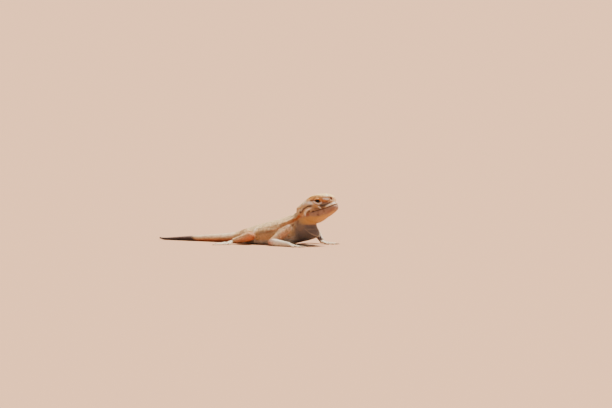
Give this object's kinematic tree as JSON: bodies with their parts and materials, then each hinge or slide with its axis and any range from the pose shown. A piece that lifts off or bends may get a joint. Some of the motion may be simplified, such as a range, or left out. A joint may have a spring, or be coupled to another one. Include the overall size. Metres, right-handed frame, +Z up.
{
  "type": "secret toadhead agama",
  "caption": "Life-size still model of a toadhead agama lizard resting on its belly, head raised, dark-ended tail laid straight behind.",
  "frame": {"origin": "on the ground under the middle of the whole lizard's box", "axes": "+X from tail to snout, +Y to the lizard's own left, +Z up; the belly, hands, feet and tail rest on z = 0"},
  "size_m": [0.1448, 0.0732, 0.0371],
  "materials": {
    "head_skin": "scaly skin, satin",
    "back_skin": "scaly skin, matte",
    "limb_skin": "scaly skin, matte",
    "tail_end_skin": "scaly skin, matte",
    "eye_surface": "wet gloss"
  },
  "bodies": {
    "root": {"head": "head_skin", "neck": "head_skin", "eye_right": "eye_surface", "eye_left": "eye_surface", "torso": "back_skin", "tail_base": "back_skin", "tail_middle": "back_skin", "tail_end": "tail_end_skin", "upper_arm_right": "limb_skin", "forearm_right": "limb_skin", "hand_right": "limb_skin", "upper_arm_left": "limb_skin", "forearm_left": "limb_skin", "hand_left": "limb_skin", "thigh_right": "limb_skin", "shank_right": "limb_skin", "foot_right": "limb_skin", "thigh_left": "limb_skin", "shank_left": "limb_skin", "foot_left": "limb_skin"}
  },
  "joints": []
}
